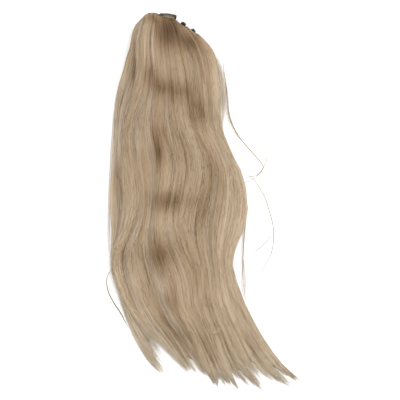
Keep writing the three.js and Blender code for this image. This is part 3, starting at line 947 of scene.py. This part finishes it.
def upper_strands():
    """Strands over the whole upper layer, in wisps that lie over each other and end in points.

    A wisp runs from the root line to the cut line at its own place across the hair, swaying from side
    to side and rising over and sinking under its neighbours. Its strands spread to both sides of it,
    are cut in layers and draw together in the nearest lock, with their tips a little splayed. They
    rise over the rim of the band in a quarter round, sink in the hollows of the waves, and keep clear
    of the clip. Strands at the two sides have frayed roots, hang lower and stray a little outward.
    """
    chance = np.random.default_rng(seed=7)
    fray = np.random.default_rng(seed=8)
    count = UPPER_STRANDS + SIDE_STRANDS
    each = (count, 1)
    wisp = chance.integers(0, WISPS, each)
    wisp_share = (np.arange(WISPS) + chance.uniform(*WISP_PLACE, WISPS)) / WISPS
    wisp_sway = chance.uniform(*WISP_SWAY, WISPS)[wisp]
    wisp_wave = chance.uniform(*WISP_WAVE, WISPS)[wisp] * MM
    wisp_start = FULL_TURN * chance.random(WISPS)[wisp]
    wisp_depth = chance.uniform(*WISP_DEPTH, WISPS)[wisp]
    wisp_tone = np.clip(chance.normal(0, WISP_TONE, WISPS), -MOST_WISP_TONE, MOST_WISP_TONE)[wisp]
    wisp_cut = chance.uniform(-WISP_CUT, WISP_CUT, WISPS)[wisp] * MM

    # Places across the hair, of each strand and of the middle of its wisp.
    on_side = (np.arange(count) >= UPPER_STRANDS)[:, None]
    on_right = chance.random(each) < 0.5
    side_place = np.where(on_right, 1 - SIDE_STRIP, 0.0) + SIDE_STRIP * chance.random(each)
    share = np.abs(wisp_share[wisp] + WISP_SPREAD * chance.normal(0, 1, each))
    across = np.where(on_side, side_place, even_across(np.minimum(share, 2 - share)))
    middle = np.where(on_side, side_place, even_across(wisp_share[wisp]))

    # Roots, ends and rings down the hair.
    frayed_root = fray.uniform(0, SIDE_ROOT_SPREAD, each)
    lower_start = np.where(on_side, frayed_root, chance.uniform(0, ROOT_SPREAD, each))
    root = table_at(ROOT_LINE, across) * MM + lower_start * MM
    root_height = table_at(ROOT_LINE, across, ROOT_HEIGHT) * MM
    layered = chance.random(each) < LAYERED_SHARE
    shorter = LAYERED_SHORTER * chance.random(each)
    shorter = np.where(layered, shorter, chance.exponential(CUT_SPREAD, each))
    end = table_at(TIP_LINE, across) * MM - wisp_cut - np.minimum(shorter, MOST_SHORTER) * MM
    down = rings_down(root, end, chance.uniform(-RING_SHIFT, RING_SHIFT, each) * MM)
    t = (down - root) / (end - root)

    # Strands drawn in to their wisp, and at the tips to the nearest lock.
    pull = WISP_PULL + WISP_TIP_PULL * ease(WISP_PULL_FROM, 1.0, t)
    s = across + pull * (middle - across)
    nearest = LOCK_TIPS[np.abs(middle - LOCK_TIPS).argmin(1)][:, None]
    splay = fray.normal(0, TIP_SPLAY, each)
    s = s + ease(LOCK_PULL_FROM, 1.0, t) * (LOCK_PULL * (nearest - s) + splay)
    s = np.clip(s, 0.0, 1.0)

    # Sway, frizz and straying from side to side.
    section = hair_section(down)
    loose = ease(*SWAY_OVER, down)
    sway = wisp_sway * np.sin(FULL_TURN * down / wisp_wave + wisp_start) * loose
    frizz = np.where(chance.random(each) < FRIZZY_SHARE, FRIZZY, CALM)
    start = FULL_TURN * chance.random(each)
    waves = chance.uniform(*STRAND_WAVES, each)
    waver = np.sin(FULL_TURN * waves * t + start) * ease(0.0, WAVES_FULL, t)
    outward = np.where(on_side, np.where(on_right, 1.0, -1.0), 0.0)
    stray = outward * np.abs(chance.normal(0, SIDE_STRAY, each)) * (0.5 + 0.5 * waver)
    inset = np.where(on_right, RIGHT_INSET, LEFT_INSET) * ease(INSET_LENGTH, 0.0, down - root)
    stray = stray - outward * inset
    x = hair_x(section, s) + MM * (np.where(on_side, 0.0, sway) + frizz * waver + stray)
    y = ROOT_Y - down

    # Heights, from the clip and the lower layer up to the waved surface.
    depth = wisp_depth + np.abs(chance.normal(0, STRAND_DEPTH, each))
    lift = WISP_LIFT * np.cos(FULL_TURN * down / wisp_wave + 2 * wisp_start) * loose
    top = upper_top(section, s) + MM * (lift - depth)
    bottom = upper_bottom(section, x, y)
    level = np.where(on_side, chance.random(each), 1.0)
    z = bottom + level * np.maximum(top - bottom, 0.0)
    hollow = hollow_at(x, y + chance.normal(0, HOLLOW_BLUR, each) * MM) + parting_at(s, down)
    z = z - WAVE_DEPTH * hollow * ease(0.0, WAVE_ROOM, z - bottom)
    rise = 1 - np.clip((down - root) / ROOT_RISE, 0, 1)
    z = np.where(on_side, z, root_height + (z - root_height) * np.sqrt(1 - rise**2))
    thinned = TIP_THICKNESS + (1 - TIP_THICKNESS) * ease(0.0, TIP_TAPER, end - down)
    radii = STRAND_RADIUS * chance.uniform(*STRAND_THICKNESS, each) * thinned
    z = np.maximum(z, radii + FLOOR_GAP)

    # Tones, and the strands sorted into pieces.
    streaked = 1 + STREAKED_TIPS * ease(*STREAKED_OVER, down)
    own_tone = streaked * (wisp_tone + chance.normal(0, STRAND_TONE, each))
    # Tips paler, partly as their own colour and partly as painted light.
    paler_tip_and_light = PALER_TIP_AND_PAINTED_LIGHT * ease(PALE_TIP_LENGTH, 0.0, end - down)
    # The tone carries painted shade in the hollows and partings, and painted highlights on the crests
    # and edges.
    tones = np.clip(tone_at(s, down, hollow) + own_tone + paler_tip_and_light, LEAST_TONE, MOST_TONE)
    paths = np.stack([x, y, z], axis=2)
    ash = (fray.random(WISPS) < table_at(ASH_SHARES, wisp_share))[wisp[:, 0]]
    order = np.argsort(across[:, 0])
    groups = np.array_split(order[~ash[order]], UPPER_PIECES)
    pieces = []
    for number, chosen in enumerate(groups, 1):
        name = f"upper_hair_strands_{number}"
        pieces.append(strand_tubes(name, paths[chosen], radii[chosen], tones[chosen], fibre))
    pieces.append(strand_tubes("upper_hair_ash_strands", paths[ash], radii[ash], tones[ash], ash_fibre))
    return pieces


# Grid of the upper pile, in the same terms as the lower.
UPPER_PILE_PLACES = np.linspace(0.02, 0.98, 90)
UPPER_PILE_ROWS = np.linspace(0, 1, 70)
UPPER_PILE_INSET = 6 * MM
UPPER_PILE_SHORTER = 16 * MM
UPPER_PILE_DEPTH = 2.6 * MM
UPPER_PILE_LEAST = 0.4 * MM


def upper_pile():
    """The bulk of the upper layer under its strands, hollow over the clip."""
    across, t = np.meshgrid(UPPER_PILE_PLACES, UPPER_PILE_ROWS)
    root = table_at(ROOT_LINE, across) * MM + UPPER_PILE_INSET
    end = table_at(TIP_LINE, across) * MM - UPPER_PILE_SHORTER
    down = root + t * (end - root)
    section = hair_section(down)
    x = hair_x(section, across)
    y = ROOT_Y - down
    hollow = hollow_at(x, y) + parting_at(across, down)
    low = upper_bottom(section, x, y)
    high = upper_top(section, across) - UPPER_PILE_DEPTH - WAVE_DEPTH * np.maximum(hollow, 0.0)
    high = np.maximum(high, low + UPPER_PILE_LEAST)
    # Its tone carries the same painted shade and painted highlights as the strands.
    return hair_pile("upper_hair_pile", across, down, low, high, tone_at(across, down, hollow))


for piece in (upper_pile(), *upper_strands()):
    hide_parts("upper_weft_hair")
    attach(piece, "root")


# Loose strands
# Single hairs that have slipped out of the upper layer. They leave its edge, lie on the surface in
# long curls and end in a free tip or run back under the hair.

# Columns: number of hairs that lie together, their spread, radius and tone, and points along them from
# the edge of the upper layer, x and y. Lengths are in millimetres.
LOOSE_HAIRS = [
    (2, 0.3, 0.40, 0.55, [
        (30, 182), (35, 141), (39, 109), (48, 88), (64, 67),
        (79, 50), (83, 43), (78, 35), (69, 27), (55, 22),
    ]),
    (2, 0.2, 0.42, 0.38, [
        (60, 36), (71, 27), (79, 15), (86, 2), (89, -8),
        (96, -36), (96, -53), (94, -66), (86, -83), (74, -101),
    ]),
    (1, 0.0, 0.42, 0.50, [(87, 68), (87, 53), (83, 43), (74, 33), (60, 30)]),
    (4, 0.7, 0.30, 0.70, [(59, -6), (58, -32), (56, -58), (55, -84), (56, -110), (60, -132)]),
    (3, 0.8, 0.28, 0.70, [(57, -77), (59, -100), (59, -127)]),
    (1, 0.0, 0.45, 0.40, [(94, -44), (83, -58), (68, -69)]),
    (8, 1.5, 0.24, 0.90, [
        (-99, 164), (-108, 130), (-113, 85), (-116, 35), (-118, -15), (-118, -60), (-115, -95),
    ]),
    (3, 0.5, 0.38, 0.38, [
        (-116, -90), (-121, -101), (-120, -116), (-113, -132), (-103, -147), (-93, -167),
    ]),
    (9, 2.4, 0.22, 0.98, [
        (-4, 212), (14, 194), (23, 180), (29, 165), (33, 144), (35, 120), (39, 104), (47, 86), (56, 72),
    ]),
    (12, 2.4, 0.22, 0.98, [
        (10, 198), (19, 180), (25, 162), (29, 144), (30, 124), (30, 106), (29, 90),
    ]),
    (7, 0.7, 0.32, 0.62, [(62, -152), (75, -173), (85, -187), (97, -202), (110, -217), (129, -232)]),
]
LOOSE_RINGS = 40
LOOSE_SHORTER = 0.3
LOOSE_SPREAD_FULL = 0.3
LOOSE_TAPER = 0.5
LOOSE_TONE_WAVE = 0.05
LOOSE_TONE_TURN = 7
# Height of a hair on the surface, share of the edge's height near it, and how far from it a hair falls.
LOOSE_HEIGHT = 0.6 * MM
LOOSE_EDGE_SHARE = 0.7
LOOSE_FALL = 12 * MM


def loose_strands():
    """Thin tubes along smooth curves through each hair's points, drawn thin at both ends.

    Hairs that lie together spread apart from their root on, and each ends earlier than the one before
    it. A hair lies on the surface, and hangs at the height of the upper layer's edge near that edge.
    """
    chance = np.random.default_rng(seed=21)
    t = np.linspace(0, 1, LOOSE_RINGS)
    paths = []
    radii = []
    tones = []
    for count, spread, radius, tone, marks in LOOSE_HAIRS:
        marks = MM * np.array(marks, float)
        steps = np.append(0, np.cumsum(np.linalg.norm(np.diff(marks, axis=0), axis=1)))
        for number in range(count):
            reach = 1 - LOOSE_SHORTER * number / count
            plan = smooth_through(steps / steps[-1], marks, reach * t)
            section = hair_section(ROOT_Y - plan[:, 1])
            from_edge = np.maximum(plan[:, 0] - section[:, RIGHT], section[:, LEFT] - plan[:, 0])
            held = LOOSE_EDGE_SHARE * section[:, EDGE] * ease(LOOSE_FALL, 0.0, from_edge)
            spreading = ease(0.0, LOOSE_SPREAD_FULL, t[:, None])
            wander = spread * MM * chance.normal(0, 1, (1, 2)) * spreading
            paths.append(np.column_stack([plan + wander, LOOSE_HEIGHT + held]))
            radii.append(radius * MM * (1 - LOOSE_TAPER * from_middle(t) ** 3))
            tones.append(tone + LOOSE_TONE_WAVE * np.sin(LOOSE_TONE_TURN * t))
    return strand_tubes("loose_hair_strands", np.array(paths), np.array(radii), np.array(tones), fibre)


loose_piece = loose_strands()
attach(loose_piece, "root")


# Floor, light and camera
# A plain matt white floor under the hairpiece, which lies on it. One large soft box high above and an
# even white surrounding light it, and the camera looks straight down.

FLOOR_HALF = 3.0
matt_white, _, floor_shader = new_material("white_floor")
floor_shader["Base Color"].default_value = (0.93, 0.93, 0.93, 1.0)
floor_shader["Roughness"].default_value = 0.9
floor_shader["Specular IOR Level"].default_value = 0.1
floor_points = FLOOR_HALF * np.array([[-1, -1, 0], [1, -1, 0], [1, 1, 0], [-1, 1, 0]])
floor = mesh_object("floor", floor_points, [np.array([[0, 1, 2, 3]])], matt_white)

scene = bpy.context.scene
scene.view_settings.view_transform = "Standard"
world = bpy.data.worlds.new("studio")
world.use_nodes = True
surrounding = world.node_tree.nodes["Background"].inputs
surrounding["Color"].default_value = (1.0, 1.0, 1.0, 1.0)
surrounding["Strength"].default_value = 0.9
scene.world = world

KEY_X, KEY_Y, KEY_Z = 0.3, 0.9, 5.8
key_data = bpy.data.lights.new("key", "AREA")
key_data.size = 2.4
key_data.energy = 230.0
key = bpy.data.objects.new("key", key_data)
key.location = (KEY_X, KEY_Y, KEY_Z)
key_tilt = np.arctan2(np.hypot(KEY_X, KEY_Y), KEY_Z)
key.rotation_euler = (key_tilt, 0.0, np.arctan2(KEY_X, -KEY_Y))
scene.collection.objects.link(key)

CAMERA_HEIGHT = 5.0
SENSOR_WIDTH = 36.0
# Width of the view at the height of the hair, and the point that the camera looks down on.
VIEW_WIDTH = 0.52
VIEW_HEIGHT = 20 * MM
AIM_X = 0.13 * MM
AIM_Y = 0.65 * MM
camera_data = bpy.data.cameras.new("camera")
camera_data.sensor_width = SENSOR_WIDTH
camera_data.lens = SENSOR_WIDTH * (CAMERA_HEIGHT - VIEW_HEIGHT) / VIEW_WIDTH
camera_data.clip_end = 50.0
camera = bpy.data.objects.new("camera", camera_data)
camera.location = (AIM_X, AIM_Y, CAMERA_HEIGHT)
scene.collection.objects.link(camera)
scene.camera = camera
